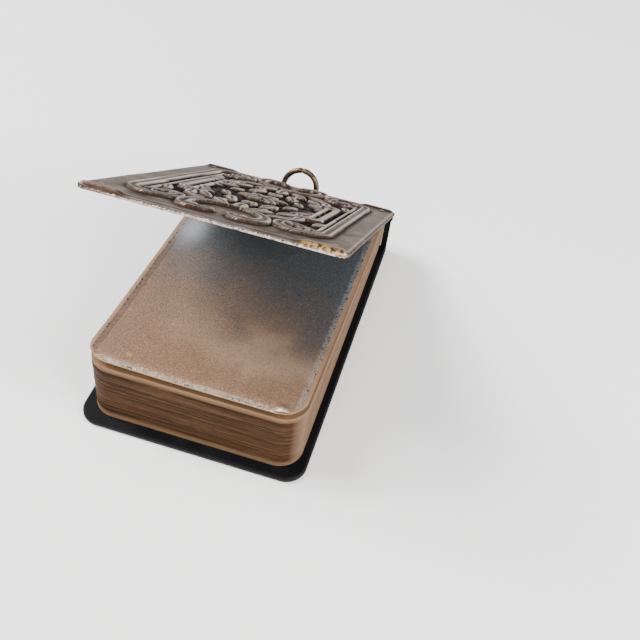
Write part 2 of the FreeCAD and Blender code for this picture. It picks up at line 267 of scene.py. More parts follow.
def lobe(height, across, from_edge, x, y, heading, length, width, crest):
    """Raises one pointed leaf with a vein along its middle, from its root at x, y."""
    turn = math.radians(heading)
    along = ((across - x) * math.cos(turn) + (from_edge - y) * math.sin(turn)) / length
    aside = (-(across - x) * math.sin(turn) + (from_edge - y) * math.cos(turn)) / width
    half = np.sin(np.clip(along, 0, 1) * math.pi) ** 0.7
    inside = (along > 0) & (along < 1) & (np.abs(aside) < half)
    ratio = np.abs(aside) / np.maximum(half, 1e-3)
    raised = crest * (0.45 + 0.55 * half) * np.sqrt(np.clip(1 - ratio ** 2, 0, 1))
    raised *= 1 - 0.6 * np.exp(-(ratio / 0.3) ** 2)
    height[inside] = np.maximum(height[inside], raised[inside])


def border_distance(across, from_edge, inset, radius):
    """Signed distance to a rounded rectangle set in from the plate's edges, less than 0 inside it."""
    half_width = plate_width / 2 - inset - radius
    half_length = to_middle - inset - radius
    dx = np.abs(across) - half_width
    dy = np.abs(from_edge - to_middle) - half_length
    outside = np.hypot(np.maximum(dx, 0), np.maximum(dy, 0))
    return outside + np.minimum(np.maximum(dx, dy), 0) - radius


# One quarter of the ornament, mirrored to the others. Places are across from the middle line and
# from the nearer end. A strap has a start, a heading, its steps, half widths, crest and groove
straps = [
    ((plate_half - 4.8, to_middle), -90, [(to_middle - 9.0, 0), (3.5, -180), (1.7, -170)],
     (0.75, 0.78, 0.8, 0.85, 0.95, 0.75), 0.72, 0.46),
    ((0.0, 12.4), 0, [(5.9, -108), (2.1, -140)], (0.5, 0.7, 0.95, 1.05, 0.85), 0.86, 0.48),
    ((plate_half - 8.1, to_middle), -90, [(to_middle - 20.6, 0), (1.3, -150)],
     (0.45, 0.45, 0.5, 0.6), 0.5, 0.0),
    ((plate_half - 9.8, to_middle), -90, [(to_middle - 22.2, 0), (0.8, 120)],
     (0.3, 0.3, 0.4), 0.36, 0.0),
    ((plate_half - 6.5, to_middle), -90, [(to_middle - 11.5, 0), (1.9, -140)],
     (0.22, 0.22, 0.3), 0.24, 0.0),
]
# Buttons at the ends of the curls: place, radius and crest
buttons = [(8.6, 9.6, 0.95, 0.85), (3.6, 4.0, 0.9, 0.95), (9.4, 20.9, 0.6, 0.5), (16.9, 2.9, 0.5, 0.3)]
# Leaves: place across and from the nearer end, heading, length, half width and crest
relief_leaves = [
    (0.0, 12.7, 90, 5.6, 1.15, 0.62), (1.4, 13.0, 52, 5.4, 1.0, 0.6), (4.4, 11.9, 40, 5.0, 0.95, 0.56),
    (2.2, 18.4, 72, 5.6, 1.0, 0.56), (5.2, 16.4, 58, 5.2, 0.95, 0.54), (8.3, 14.6, 84, 5.6, 0.95, 0.52),
    (6.2, 21.8, 40, 4.4, 0.85, 0.5), (4.6, 24.2, 66, 4.0, 0.8, 0.5), (11.2, 12.2, -90, 4.4, 0.95, 0.5),
    (11.4, 14.2, 75, 4.6, 0.85, 0.46), (11.0, 11.6, -128, 3.0, 0.6, 0.42),
    (11.4, 11.6, -52, 3.0, 0.6, 0.42),
    (3.6, 14.8, 96, 3.8, 0.7, 0.46), (6.9, 13.2, 66, 4.2, 0.75, 0.48), (0.9, 19.2, 100, 3.6, 0.7, 0.44),
    (8.2, 19.4, 100, 4.0, 0.7, 0.42), (4.2, 20.6, 110, 3.4, 0.65, 0.42), (8.0, 25.6, 30, 2.6, 0.6, 0.4),
]
petal_count = 6


def relief(across, from_edge):
    """Height of the stamped relief above the plate's flat margin, and how far it lies in the ground."""
    sway = 0.1 * waves(across, from_edge, 6.0, 5)
    end = np.minimum(from_edge, plate_length - from_edge) + sway
    side = np.abs(across + 0.12 * waves(across, from_edge, 7.0, 6))
    height = np.zeros(across.shape)
    for (x, y), heading, steps, widths, crest, groove in straps:
        stroke(height, side, end, tangent_path(x, y, heading, steps), widths, crest, groove)
    for x, y, radius, crest in buttons:
        boss(height, side, end, x, y, radius, crest)
    for x, y, heading, length, half, crest in relief_leaves:
        lobe(height, side, end, x, y, heading, length, half, crest)
    turned = 360 / petal_count
    for number in range(petal_count):
        lobe(height, across, from_edge, 0, to_middle, turned * number + 8, 4.2, 1.15, 0.66)
        lobe(height, across, from_edge, 0, to_middle, turned * (number + 0.5) + 8, 3.2, 0.7, 0.46)
    boss(height, across, from_edge, 0, to_middle, 1.0, 0.8)
    panel = border_distance(across, from_edge, 5.4, 4.5)
    open_front = np.hypot(side / 7.0, (end - 2.0) / 10.0)
    sunk = ease(-panel / 0.5) * ease((open_front - 0.9) / 0.15)
    ground = sunk * (1 - ease(height / 0.12))
    height = np.maximum(height, 0.09 * waves(across, from_edge, 0.42, 8) * ground)
    bead_end = ease((side - 11.9) / 1.8) * (1 - ease((side - 18.3) / 0.8))
    bead = np.sqrt(np.clip(1 - ((end - 0.7) / 0.5) ** 2, 0, 1)) * 0.46 * bead_end
    height = np.maximum(height, bead)
    soft = 0.86 + 0.14 * waves(across, from_edge, 9.0, 9)
    return height * soft - 0.16 * ground + 0.025 * waves(across, from_edge, 2.4, 3), ground


def relief_plate():
    """The stamped plate with its relief, rounded corners and rims turned down round the board."""
    rows, columns = 351, 235
    down = np.linspace(0, plate_length, rows)
    side = np.linspace(-1, 1, columns)
    corner = np.clip(plate_corner_radius - down, 0, None)
    half = plate_width / 2 - plate_corner_radius + np.sqrt(
        np.clip(plate_corner_radius ** 2 - corner ** 2, 0, None))
    across = side[None, :] * half[:, None]
    from_edge = np.repeat(down[:, None], columns, 1)
    height, ground = relief(across, from_edge)
    to_edge = np.minimum(half[:, None] - np.abs(across), from_edge)
    height -= 0.18 * (1 - ease(to_edge / 0.4))
    upper = cover_place(across, cover_near - from_edge, plate_top + height)
    border = border_of(upper)
    rim_x, rim_d = across.ravel()[border], from_edge.ravel()[border]
    inner_x = rim_x * (1 - 2 * plate_metal / plate_width)
    inner_d = np.clip(rim_d, plate_metal, plate_length)
    sheet = plate_top - plate_metal
    foot = np.where(rim_d > plate_length - 1e-6, sheet, board_level)
    loops = [
        cover_place(rim_x, cover_near - rim_d, foot),
        cover_place(inner_x, cover_near - inner_d, foot),
        cover_place(inner_x, cover_near - inner_d, np.full(rim_x.shape, sheet)),
    ]
    piece = pan_from_grid("relief_plate", upper, loops)
    spare = np.zeros(len(piece.data.vertices) - height.size)
    wide, narrow = blurred(height, 5), blurred(height, 2)
    pace = down[1] - down[0]
    front = np.gradient(height, axis=0) / pace
    for name, values in (
        ("recess", np.clip((wide - height) / 0.16, 0, 1) * 0.8 + 0.75 * ground),
        ("crest", np.clip((height - narrow) / 0.07, 0, 1)),
        ("shaded_front_flank", np.clip(front / 0.8, 0, 1)),
    ):
        store(piece, name, np.concatenate([np.clip(values, 0, 1).ravel(), spare]))
    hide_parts("front_plate")
    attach(piece, "front_cover")
    return piece


# Silvered endpaper: inside the cover, round the gutter, and on the top leaf

def ragged(count, size, seed):
    """Small uneven steps along a torn edge."""
    picker = np.random.default_rng(seed)
    coarse = np.repeat(picker.uniform(-1, 1, count // 3 + 2), 3)[:count]
    fine = picker.uniform(-1, 1, count)
    return size * (0.6 * coarse + 0.4 * fine)


def leaf_grid(half, near_y, far_y, radius, rows, columns, tear):
    """Points across and along a leaf with rounded free corners and slightly torn edges."""
    down = np.linspace(0, 1, rows) ** 1.15
    y = near_y + (far_y - near_y) * down
    corner = np.clip(radius - (y - near_y), 0, None)
    reach = half - radius + np.sqrt(np.clip(radius ** 2 - corner ** 2, 0, None))
    side = np.sin(np.linspace(-1, 1, columns) * math.pi / 2 * 0.999)
    x = side[None, :] * reach[:, None]
    y = np.repeat(y[:, None], columns, 1)
    x[:, 0] += ragged(rows, tear, 11)
    x[:, -1] += ragged(rows, tear, 12)
    y[0] += ragged(columns, tear, 13)
    return x, y


def pages_top(y):
    """Level of the pages' top, which rises towards the free edge."""
    start = fold_y - 0.5
    return pages_top_at_spine + (pages_top_at_free_edge - pages_top_at_spine) * (
        (start - y) / (start - pages_near_y))


def leaf_level(x, y):
    """Level of the top leaf: lifted off the pages, with its free border curling down."""
    free = np.clip(fold_y - y, 0, None)
    lift = free * math.tan(leaf_lift)
    near = 1 - ease((y - pages_near_y) / 2.6)
    side = 1 - ease((pages_half - np.abs(x)) / 2.0)
    swell = 0.12 * waves(x, y, 7.5, 21) * ease((y - pages_near_y) / 6)
    left_rise = 0.35 * ease(-x / pages_half) * ease((12 - (y - pages_near_y)) / 12)
    return pages_top(y) + 0.12 + lift + swell + left_rise - 0.2 * near ** 2 - 0.12 * side ** 2


def top_leaf():
    """The paper leaf and the silvered facing on it, which stops short of the paper's edges."""
    far_y = fold_y - 2.2
    x, y = leaf_grid(pages_half - 0.1, pages_near_y + 0.1, far_y, page_corner_radius, 90, 60, 0.0)
    level = leaf_level(x, y)
    upper = np.stack([x, y, level], -1)
    lower = np.stack([x, y, level - 0.1], -1)
    paper = shell_from_grids("top_leaf_paper", upper, lower)
    silver_half, silver_near_y = pages_half - 0.75, pages_near_y + 0.25
    x, y = leaf_grid(silver_half, silver_near_y, far_y, page_corner_radius - 0.6, 220, 150, 0.13)
    level = leaf_level(x, y) + 0.03 + corner_curl(x, y) + 0.02 * waves(x, y, 1.1, 31)
    upper = np.stack([x, y, level], -1)
    lower = np.stack([x, y, level - 0.05], -1)
    facing = shell_from_grids("top_leaf_silver", upper, lower)
    border = np.minimum(silver_half - np.abs(x), y - silver_near_y)
    worn = np.clip(1 - border / 1.1, 0, 1)
    store(facing, "border", np.concatenate([worn.ravel(), worn.ravel()]))
    for piece in (paper, facing):
        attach(piece, "top_leaf")
    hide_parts("silver_leaf")
    return paper, facing


def corner_curl(x, y):
    """The silver facing stands up a little where it is torn, at the free right corner."""
    gap = np.hypot(x - (pages_half - 3.2), y - (pages_near_y + 0.9))
    return 0.5 * np.exp(-(gap / 0.8) ** 2)


def lining():
    """The silvered lining inside the cover, a little rippled and torn along its sides."""
    rows, columns = 120, 90
    along = np.linspace(0.9, cover_near - 0.25, rows)
    side = np.linspace(-1, 1, columns)
    half = plate_width / 2 - 0.42
    across = np.repeat(side[None, :] * half, rows, 0)
    across[:, 0] += ragged(rows, 0.07, 41)
    across[:, -1] += ragged(rows, 0.07, 42)
    along = np.repeat(along[:, None], columns, 1)
    ripple = 0.03 * waves(across, along, 4.0, 43)
    lower = cover_place(across, along, lining_level - 0.02 + ripple * 0.3)
    upper = cover_place(across, along, board_level)
    piece = shell_from_grids("cover_lining", upper, lower)
    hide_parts("front_lining")
    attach(piece, "front_cover")
    return piece


def raw_edge():
    """Silvered fibres along the free edge, where the lining laps unevenly over the turned rim."""
    columns = 420
    across = np.linspace(-plate_width / 2 + 0.9, plate_width / 2 - 0.9, columns)
    top = 0.3 + ragged(columns, 0.14, 51)
    rows = []
    for share in (0.0, 0.35, 0.7, 1.0):
        level = -0.02 + (top + 0.02) * share
        stand = 0.05 + 0.05 * math.sin(share * math.pi) + ragged(columns, 0.025, 52 + int(share * 10))
        rows.append(cover_place(across, cover_near + stand, level))
    outer = np.array(rows)
    inner = np.array([cover_place(across, cover_near - 0.12, -0.02 + (top + 0.02) * share)
                      for share in (0.0, 0.35, 0.7, 1.0)])
    piece = shell_from_grids("lining_raw_edge", inner, outer)
    store(piece, "border", 0.75 + ragged(len(piece.data.vertices), 0.25, 58))
    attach(piece, "front_cover")
    return piece


def curve_through(start, first_pull, second_pull, end, count):
    """Points of a cubic curve in the YZ plane."""
    share = np.linspace(0, 1, count)[:, None]
    rest = 1 - share
    controls = [np.array(point, float) for point in (start, first_pull, second_pull, end)]
    return (rest ** 3 * controls[0] + 3 * rest ** 2 * share * controls[1]
            + 3 * rest * share ** 2 * controls[2] + share ** 3 * controls[3])


def normals_along(line):
    """Unit normals of a curve in the YZ plane, a quarter turn on from its direction."""
    tangent = np.gradient(line, axis=0)
    tangent /= np.linalg.norm(tangent, axis=1)[:, None]
    return np.stack([-tangent[:, 1], tangent[:, 0]], 1)


def gutter_fold():
    """The endpaper's bend from the top leaf up to the inside of the cover."""
    start_y = fold_y - 4.2
    start = (start_y, float(leaf_level(np.array(0.0), np.array(start_y))) + 0.01)
    meet = cover_place(0.0, 4.6, lining_level - 0.06)
    pull = cover_place(0.0, 1.5, -0.15)
    line = curve_through(start, (fold_y - 0.9, start[1] - 0.12), pull[1:], meet[1:], 26)
    columns = 80
    side = np.linspace(-(pages_half - 0.9), pages_half - 0.9, columns)
    normal = normals_along(line)
    x = np.repeat(side[None, :], len(line), 0)
    x[:, 0] += ragged(len(line), 0.12, 61)
    x[:, -1] += ragged(len(line), 0.12, 62)
    crease = 0.05 * waves(x * 0.35, np.repeat(np.arange(len(line))[:, None], columns, 1) * 0.4, 2.4, 63)
    face = line[:, None, :] + normal[:, None, :] * crease[..., None]
    back = line[:, None, :] - normal[:, None, :] * (0.07 - crease[..., None])
    upper = np.concatenate([x[..., None], face], -1)
    lower = np.concatenate([x[..., None], back], -1)
    piece = shell_from_grids("gutter_fold", upper, lower)
    store(piece, "border", np.zeros(x.size * 2))
    line[4][0] * MM
    line[4][1] * MM
    line[-3][0] * MM
    line[-3][1] * MM
    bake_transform(piece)
    return piece


# Leather that carries the cover over the spine's top edge

def hinge_bend():
    """The strip of leather that bends from the spine's wall up to the flap under the plate."""
    start = (spine_y - 0.04, spine_top - 1.0)
    end = cover_place(0.0, cover_far + 0.5, plate_top - 0.3)
    pull = cover_place(0.0, -0.25, 0.55)
    line = curve_through(start, (spine_y + 0.14, spine_top + 0.1), pull[1:], end[1:], 18)
    columns = 60
    side = np.linspace(-case_half - 0.25, case_half + 0.1, columns)
    normal = -normals_along(line)
    x = np.repeat(side[None, :], len(line), 0)
    crease = 0.03 * waves(x, np.repeat(np.arange(len(line))[:, None], columns, 1) * 0.3, 1.6, 71)
    outer = line[:, None, :] + normal[:, None, :] * crease[..., None]
    inner = line[:, None, :] - normal[:, None, :] * (0.3 - crease[..., None])
    piece = shell_from_grids("hinge_bend", np.concatenate([x[..., None], inner], -1),
                             np.concatenate([x[..., None], outer], -1))
    line[3][0] * MM
    line[3][1] * MM
    line[-3][0] * MM
    line[-3][1] * MM
    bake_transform(piece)
    return piece


# Pages: separate leaves that fan out towards the free edge, placed by a node tree

def one_leaf():
    """One leaf about its fold line, as a thin slab with rounded free corners."""
    length = fold_y - pages_near_y
    thickness = 0.115
    outline = [(-pages_half, 0.0), (-pages_half, -length + page_corner_radius)]
    for step in range(1, 10):
        turn = math.radians(180 + 90 * step / 10)
        outline.append((-pages_half + page_corner_radius * (1 + math.cos(turn)),
                        -length + page_corner_radius * (1 + math.sin(turn))))
    outline.append((-pages_half + page_corner_radius, -length))
    outline += [(-x, y) for x, y in reversed(outline)]
    count = len(outline)
    points = [(x, y, 0.0) for x, y in outline] + [(x, y, thickness) for x, y in outline]
    faces = [list(range(count))[::-1], list(range(count, 2 * count))]
    for index in range(count):
        after = (index + 1) % count
        faces.append([index, after, after + count, index + count])
    return mesh_object("page_leaves", points, faces, smooth=False)


def socket_named(group, name):
    """Identifier of a modifier input, from its name in the tree."""
    return next(item.identifier for item in group.interface.items_tree if item.name == name)


def fanned_leaves(material):
    """Stacks copies of one leaf, each turned a little more about the fold, and joins them."""
    group = bpy.data.node_groups.new("fanned_leaves", "GeometryNodeTree")
    face = group.interface
    face.new_socket("Geometry", in_out="INPUT", socket_type="NodeSocketGeometry")
    for name, kind in (
        ("Leaves", "NodeSocketInt"), ("Leaves in section", "NodeSocketInt"),
        ("First", "NodeSocketVector"), ("Pitch", "NodeSocketFloat"), ("Fan", "NodeSocketFloat"),
        ("Uneven", "NodeSocketFloat"), ("Seed", "NodeSocketInt"),
    ):
        face.new_socket(name, in_out="INPUT", socket_type=kind)
    face.new_socket("Geometry", in_out="OUTPUT", socket_type="NodeSocketGeometry")
    nodes, links = group.nodes, group.links

    def add(kind, settings=None, inputs=None):
        node = nodes.new(kind)
        for key, value in (settings or {}).items():
            setattr(node, key, value)
        for key, value in (inputs or {}).items():
            if isinstance(value, bpy.types.NodeSocket):
                links.new(value, node.inputs[key])
            else:
                node.inputs[key].default_value = value
        return node

    given = add("NodeGroupInput").outputs
    rise = add("ShaderNodeCombineXYZ", inputs={"Z": given["Pitch"]})
    line = add("GeometryNodeMeshLine", {"mode": "OFFSET"}, {
        "Count": given["Leaves"], "Start Location": given["First"], "Offset": rise.outputs[0],
    })
    index = add("GeometryNodeInputIndex").outputs[0]
    section = add("ShaderNodeMath", {"operation": "DIVIDE"},
                  {0: index, 1: given["Leaves in section"]}).outputs[0]
    section = add("ShaderNodeMath", {"operation": "FLOOR"}, {0: section}).outputs[0]
    most = add("ShaderNodeCombineXYZ", inputs={"X": given["Uneven"], "Y": given["Uneven"]}).outputs[0]
    least = add("ShaderNodeVectorMath", {"operation": "SCALE"}, {0: most, "Scale": -1.0}).outputs[0]
    shifts = []
    for which, weight in ((index, 0.6), (section, 1.0)):
        random = add("FunctionNodeRandomValue", {"data_type": "FLOAT_VECTOR"}, {
            "Min": least, "Max": most, "ID": which, "Seed": given["Seed"],
        })
        shifts.append(add("ShaderNodeVectorMath", {"operation": "SCALE"},
                          {0: random.outputs["Value"], "Scale": weight}).outputs[0])
    shift = add("ShaderNodeVectorMath", {"operation": "ADD"}, {0: shifts[0], 1: shifts[1]}).outputs[0]
    placed = add("GeometryNodeSetPosition", inputs={"Geometry": line.outputs[0], "Offset": shift})
    turn = add("ShaderNodeMath", {"operation": "MULTIPLY"}, {0: index, 1: given["Fan"]}).outputs[0]
    rotation = add("ShaderNodeCombineXYZ", inputs={"X": turn}).outputs[0]
    copies = add("GeometryNodeInstanceOnPoints", inputs={
        "Points": placed.outputs[0], "Instance": given["Geometry"], "Rotation": rotation,
    })
    real = add("GeometryNodeRealizeInstances", inputs={0: copies.outputs[0]})
    painted = add("GeometryNodeSetMaterial", inputs={"Geometry": real.outputs[0], "Material": material})
    result = add("NodeGroupOutput")
    links.new(painted.outputs[0], result.inputs[0])
    return group


def page_leaves(material):
    """All the leaves as one plain mesh on the back of the case."""
    piece = one_leaf()
    count = section_count * leaves_in_section
    group = fanned_leaves(material)
    modifier = piece.modifiers.new("Leaves", "NODES")
    modifier.node_group = group
    pitch = (pages_top_at_spine - pages_low) / count
    near_pitch = (pages_top_at_free_edge - pages_low) / count
    fan = (near_pitch - pitch) / (fold_y - pages_near_y)
    for name, value in (
        ("Leaves", count), ("Leaves in section", leaves_in_section),
        ("First", (0.0, fold_y * MM, pages_low * MM)), ("Pitch", pitch * MM), ("Fan", -fan),
        ("Uneven", 0.05 * MM), ("Seed", 7),
    ):
        modifier[socket_named(group, name)] = value
    bpy.context.view_layer.update()
    seen = piece.evaluated_get(bpy.context.evaluated_depsgraph_get())
    mesh = bpy.data.meshes.new_from_object(seen)
    piece.modifiers.clear()
    piece.data = mesh
    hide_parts(*["page_section_" + str(number + 1) for number in range(section_count)])
    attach(piece, "back_and_pages")
    return piece


# Ring: drawn wire bent round, with a butt joint that does not quite close

def wire_ring():
    low, high = low_high("suspension_ring")
    wire = ring_wire / 2
    mean = (high[0] - low[0]) / 2 - wire
    eye = np.array(joints["ring_swing"]["pos_m"]) / MM
    rows, columns = 120, 24
    opening = 0.1 / mean
    bend = np.linspace(math.pi / 2 + opening / 2, math.pi * 2.5 - opening / 2, rows)
    round_wire = np.linspace(0, 2 * math.pi, columns, endpoint=False)
    points = []
    for index, angle in enumerate(bend):
        end = min(index, rows - 1 - index)
        radius = wire * (0.8 if end == 0 else 1.0) * (1 + 0.012 * math.sin(angle * 5 + 1))
        bow = mean * (1 + 0.012 * math.sin(angle * 2))
        for around in round_wire:
            out = bow + radius * math.cos(around)
            away = mean + out * math.sin(angle)
            above = radius * math.sin(around)
            points.append((
                eye[0] + out * math.cos(angle),
                eye[1] + away * math.cos(ring_angle) - above * math.sin(ring_angle),
                eye[2] + away * math.sin(ring_angle) + above * math.cos(ring_angle),
            ))
    faces = []
    for row in range(rows - 1):
        for column in range(columns):
            after = (column + 1) % columns
            faces.append([row * columns + column, (row + 1) * columns + column,
                          (row + 1) * columns + after, row * columns + after])
    faces.append(list(range(columns)))
    faces.append([(rows - 1) * columns + column for column in range(columns)][::-1])
    piece = mesh_object("wire_ring", points, faces)
    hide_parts("suspension_ring")
    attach(piece, "ring")
    return piece


# Finishes

class Flow:
    """A shader value that takes part in Python expressions. Each expression adds Math nodes."""

    def __init__(self, finish, socket):
        self.finish = finish
        self.socket = socket

    def maths(self, operation, *values, clamp=False):
        node = self.finish.tree.nodes.new("ShaderNodeMath")
        node.operation = operation
        node.use_clamp = clamp
        for slot, value in zip(node.inputs, values):
            self.finish.feed(slot, value)
        return Flow(self.finish, node.outputs[0])

    def __add__(self, other):
        return self.maths("ADD", self, other)

    def __sub__(self, other):
        return self.maths("SUBTRACT", self, other)

    def __mul__(self, other):
        return self.maths("MULTIPLY", self, other)

    def __truediv__(self, other):
        return self.maths("DIVIDE", self, other)

    def __radd__(self, other):
        return self.maths("ADD", other, self)

    def __rsub__(self, other):
        return self.maths("SUBTRACT", other, self)

    def __rmul__(self, other):
        return self.maths("MULTIPLY", other, self)

    def between(self, low, high):
        """0 below low, 1 above high, and straight between them."""
        return self.maths("MULTIPLY", self - low, 1 / (high - low), clamp=True)

    def limited(self):
        return self.maths("ADD", self, 0.0, clamp=True)

    def bell(self):
        """1 at 0, falling smoothly to 0 on both sides."""
        return self.maths("EXPONENT", self * self * -1.0)


class Finish:
    """A material built from nodes, around one Principled shader."""

    def __init__(self, name):
        self.material = bpy.data.materials.new(name)
        self.material.use_nodes = True
        self.tree = self.material.node_tree
        self.tree.nodes.clear()
        self.shader = self.tree.nodes.new("ShaderNodeBsdfPrincipled")
        output = self.tree.nodes.new("ShaderNodeOutputMaterial")
        self.tree.links.new(self.shader.outputs[0], output.inputs[0])
        self.place = self.add("ShaderNodeTexCoord", output="Object")

    def feed(self, slot, value):
        if isinstance(value, Flow):
            self.tree.links.new(value.socket, slot)
        else:
            slot.default_value = value

    def add(self, kind, settings=None, inputs=None, output=0):
        """One node: its settings first, then the values or links of its sockets."""
        node = self.tree.nodes.new(kind)
        for key, value in (settings or {}).items():
            setattr(node, key, value)
        for key, value in (inputs or {}).items():
            self.feed(node.inputs[key], value)
        return Flow(self, node.outputs[output])

    def noise(self, size, detail=3.0, roughness=0.5, place=None):
        """Soft noise with features of so many millimetres."""
        return self.add("ShaderNodeTexNoise", inputs={
            "Vector": place or self.place, "Scale": 1 / (size * MM), "Detail": detail,
            "Roughness": roughness,
        })

    def stretched(self, scale):
        """The place, scaled by a vector, for grain that runs one way."""
        return self.add("ShaderNodeMapping", inputs={"Vector": self.place, "Scale": scale})

    def axis(self, name):
        """One coordinate, in millimetres."""
        split = self.tree.nodes.new("ShaderNodeSeparateXYZ")
        self.feed(split.inputs[0], self.place)
        return Flow(self, split.outputs[name]) * (1 / MM)

    def attribute(self, name):
        return self.add("ShaderNodeAttribute", {"attribute_name": name}, output="Fac")

    def mix(self, share, first, second):
        """Mixes two colours."""
        return self.add("ShaderNodeMix", {"data_type": "RGBA", "clamp_factor": True},
                        {0: share, 6: first, 7: second}, output=2)

    def bump(self, height, depth, below=None):
        """A bump so many millimetres deep, on top of another where one is given."""
        inputs = {"Height": height, "Distance": depth * MM, "Strength": 1.0}
        if below is not None:
            inputs["Normal"] = below
        return self.add("ShaderNodeBump", inputs=inputs)

    def set(self, **inputs):
        for key, value in inputs.items():
            self.feed(self.shader.inputs[key.replace("_", " ")], value)
        return self.material


def colour(red, green, blue):
    return (red, green, blue, 1.0)


def plate_finish():
    """Silver plate over brass: dark in the recesses, with painted shade in brown on the steep sides and
    a painted highlight on the crests.
    """
    finish = Finish("tarnished_silver_plate")
    recess = finish.attribute("recess")
    crest = finish.attribute("crest")
    front = finish.attribute("shaded_front_flank")
    cloud = finish.noise(3.2, 4.0, 0.6)
    speck = finish.noise(0.35, 3.0, 0.6)
    grey_silver, bright_silver = colour(0.17, 0.145, 0.13), colour(0.34, 0.3, 0.275)
    base = finish.mix(cloud.between(0.38, 0.66), grey_silver, bright_silver)
    stain = finish.noise(7.0, 4.0, 0.6)
    base = finish.mix(stain.between(0.5, 0.68) * 0.55, base, colour(0.1, 0.08, 0.068))
    # Painted highlight: the crests are made lighter, as where they catch the light
    base = finish.mix((crest * (0.6 + 0.6 * cloud)).limited(), base, colour(0.8, 0.72, 0.66))
    dark = (recess * (0.75 + speck * 0.6)).limited()
    base = finish.mix(dark, base, colour(0.01, 0.0095, 0.01))
    # Painted shade: brown on the steep sides of the relief that face the free edge
    brown = (front * (0.65 + cloud * 0.5)).limited()
    base = finish.mix(brown, base, colour(0.045, 0.022, 0.01))
    x, y = finish.axis("X"), finish.axis("Y")
    # The bead at the near right corner has worn through to the brass
    worn_bead = x.between(12.0, 14.0) * (1 - y.between(-19.3, -18.7))
    brass = worn_bead * finish.noise(0.7, 3.0, 0.7).between(0.4, 0.56)
    base = finish.mix(brass, base, colour(0.55, 0.34, 0.13))
    scratch = finish.noise(0.5, 2.0, 0.5, finish.stretched((0.12, 1.0, 1.0)))
    rough = 0.36 + 0.25 * recess + (cloud - 0.5) * 0.2 + (scratch - 0.5) * 0.15
    fine = finish.bump(speck, 0.03)
    marks = finish.bump(scratch, 0.015, fine)
    return finish.set(Base_Color=base, Roughness=rough.limited(), Metallic=0.9, Specular_IOR_Level=0.2,
                      Specular_Tint=colour(0.22, 0.2, 0.18), Normal=marks)


def silvered_finish():
    """Silvered paper with a fine grain: painted shade in blue-grey near the hinge, a painted reflection
    in copper towards the free edge, painted highlights, brown along its left side and torn to bright
    flakes and dark flecks at its border."""
    finish = Finish("silvered_paper")
    grain = finish.noise(0.2, 2.0, 0.6)
    coarse = finish.noise(0.6, 3.0, 0.6)
    cloud = finish.noise(8.0, 3.0, 0.5)
    x, y = finish.axis("X"), finish.axis("Y")
    copper, painted_shade_blue_grey = colour(0.34, 0.215, 0.14), colour(0.14, 0.165, 0.185)
    # Painted shade and painted reflection: blue-grey where the cover shades the leaf, copper towards
    # the free edge
    painted_shade_share = (y + x * 0.4 + (cloud - 0.5) * 20).between(-17, 6)
    base = finish.mix(painted_shade_share, copper, painted_shade_blue_grey)
    # A painted highlight: a pale copper band across the leaf near its free edge
    painted_highlight_band = ((y + x * 0.12 + 16 + (cloud - 0.5) * 16) * 0.2).bell() * x.between(-12, 6)
    base = finish.mix(painted_highlight_band * 0.75, base, colour(0.66, 0.47, 0.33))
    base = finish.mix(grain.between(0.5, 0.75) * 0.4, base, colour(0.7, 0.6, 0.52))
    base = finish.mix((1 - grain.between(0.3, 0.48)) * 0.4, base, colour(0.07, 0.05, 0.04))
    # Brown handling wear along the left side, and a painted highlight: a bright silver patch near the
    # gutter
    border = finish.attribute("border")
    left = (x * -1.0).between(pages_half - 3.4, pages_half - 1.2)
    base = finish.mix(left * border.between(0.0, 0.02) * 0.7, base, colour(0.15, 0.088, 0.05))
    painted_gutter_highlight = ((x + 14.4) * 0.4).bell() * ((y - 10.5) * 0.22).bell()
    base = finish.mix((painted_gutter_highlight * (0.5 + coarse)).limited(), base, colour(0.6, 0.64, 0.66))
    # Bright flakes and dark flecks where the silver is torn
    bright = (border.between(0.1, 0.7) * coarse.between(0.4, 0.6)).limited() * (1 - left * 0.8)
    base = finish.mix(bright * 0.85, base, colour(0.74, 0.73, 0.72))
    fleck = (border.between(0.35, 0.8) * coarse.between(0.53, 0.58)).limited()
    base = finish.mix(fleck * 0.9, base, colour(0.05, 0.035, 0.025))
    rough = 0.42 + (grain - 0.5) * 0.4
    bumps = finish.bump(grain, 0.03)
    soft = finish.bump(coarse, 0.05, bumps)
    return finish.set(Base_Color=base, Roughness=rough.limited(), Metallic=0.8, Specular_IOR_Level=0.2,
                      Specular_Tint=colour(0.7, 0.62, 0.55), Normal=soft)


